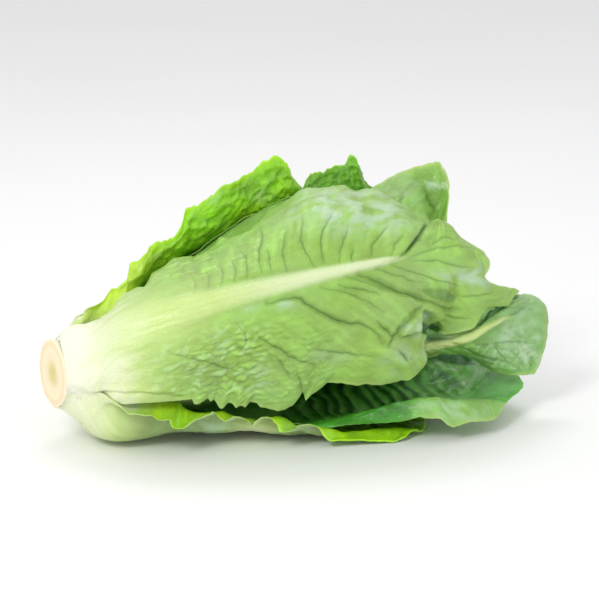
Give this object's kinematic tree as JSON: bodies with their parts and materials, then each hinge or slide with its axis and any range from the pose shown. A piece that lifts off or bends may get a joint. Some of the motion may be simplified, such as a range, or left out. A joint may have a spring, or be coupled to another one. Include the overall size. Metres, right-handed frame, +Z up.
{
  "type": "romaine lettuce head",
  "caption": "Whole head of romaine lettuce lying on its side, with long ribbed overlapping green leaves, a pale heart and a cut stem end.",
  "frame": {"origin": "centre of the bounding box, on the surface the head lies on", "axes": "+X from the cut stem to the leaf tips, +Y to the back of the head, +Z up"},
  "size_m": [0.3047, 0.1474, 0.1562],
  "materials": {
    "stem_flesh": "moist cut flesh, matt",
    "leaf_outer": "waxy, slightly glossy leaf",
    "leaf_pale": "waxy, slightly glossy leaf",
    "leaf_bright": "blistered glossy leaf",
    "leaf_dark": "blistered glossy leaf",
    "leaf_soft": "smooth satin leaf",
    "leaf_heart": "smooth satin leaf"
  },
  "bodies": {
    "root": {"stem": "stem_flesh", "leaf_bottom_outer": "leaf_pale", "leaf_back_outer": "leaf_outer", "leaf_top_back": "leaf_bright", "leaf_top_back_inner": "leaf_dark", "leaf_bottom_inner": "leaf_dark", "leaf_front_outer": "leaf_outer", "leaf_top_front": "leaf_soft", "leaf_front_inner": "leaf_soft", "leaf_back_inner": "leaf_soft", "leaf_bottom_heart": "leaf_soft", "leaf_heart_1": "leaf_heart", "leaf_heart_2": "leaf_heart", "leaf_heart_3": "leaf_heart", "leaf_heart_4": "leaf_heart", "leaf_heart_5": "leaf_heart", "leaf_heart_6": "leaf_heart", "leaf_heart_7": "leaf_heart", "leaf_heart_8": "leaf_heart", "leaf_heart_9": "leaf_heart"}
  },
  "joints": []
}
